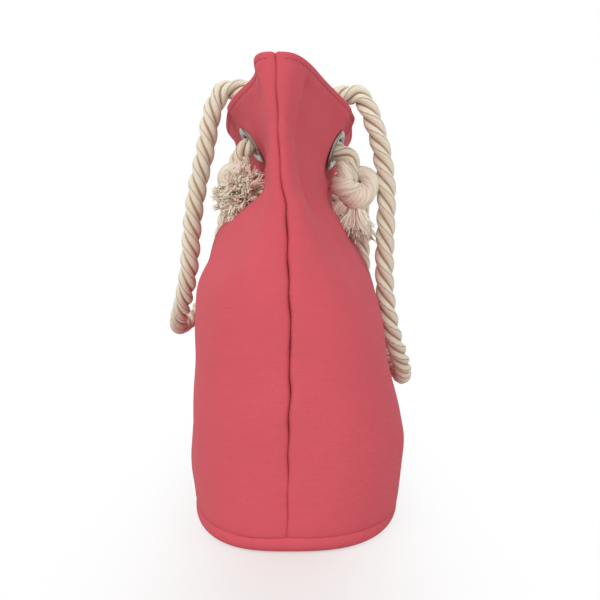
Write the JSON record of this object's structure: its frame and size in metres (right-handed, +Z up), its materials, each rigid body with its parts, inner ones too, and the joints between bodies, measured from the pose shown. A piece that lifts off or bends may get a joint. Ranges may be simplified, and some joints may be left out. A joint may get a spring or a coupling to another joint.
{
  "type": "beach bag",
  "caption": "Coral canvas beach tote with a flared doubled hem, metal eyelets and thick knotted cotton rope handles that swing up to carry.",
  "frame": {"origin": "centre of the base, on the floor", "axes": "+X runs along the width towards the right side seam, +Y towards the back panel, +Z up"},
  "size_m": [0.4701, 0.2599, 0.395],
  "materials": {
    "canvas": "matte woven coral canvas",
    "seam_tape": "woven tape",
    "eyelet_metal": "satin nickel plate",
    "cotton_rope": "three-strand natural cotton",
    "cotton_fray": "loose natural cotton yarn"
  },
  "bodies": {
    "bag": {"front_panel": "canvas", "back_panel": "canvas", "base_panel": "canvas", "front_hem_facing": "canvas", "back_hem_facing": "canvas", "left_seam_tape": "seam_tape", "right_seam_tape": "seam_tape", "base_seam_binding": "seam_tape", "eyelet_front_left": "eyelet_metal", "eyelet_front_right": "eyelet_metal", "eyelet_back_left": "eyelet_metal", "eyelet_back_right": "eyelet_metal", "washer_front_left": "eyelet_metal", "washer_front_right": "eyelet_metal", "washer_back_left": "eyelet_metal", "washer_back_right": "eyelet_metal", "tucked_rope_front_left": "cotton_rope", "tucked_rope_front_right": "cotton_rope", "tucked_rope_back_left": "cotton_rope", "tucked_rope_back_right": "cotton_rope", "knot_front_left": "cotton_rope", "knot_front_right": "cotton_rope", "knot_back_left": "cotton_rope", "knot_back_right": "cotton_rope", "frayed_end_front_left": "cotton_fray", "frayed_end_front_right": "cotton_fray", "frayed_end_back_left": "cotton_fray", "frayed_end_back_right": "cotton_fray"},
    "front_handle": {"front_handle_rope": "cotton_rope"},
    "back_handle": {"back_handle_rope": "cotton_rope"}
  },
  "joints": [
    {"name": "front_handle_swing", "type": "hinge", "parent": "bag", "child": "front_handle", "pos_m": [0, -0.07001, 0.386], "axis": [-1, 0, 0], "range_deg": [0, 160]},
    {"name": "back_handle_swing", "type": "hinge", "parent": "bag", "child": "back_handle", "pos_m": [0, 0.06028, 0.382], "axis": [1, 0, 0], "range_deg": [0, 160]}
  ]
}
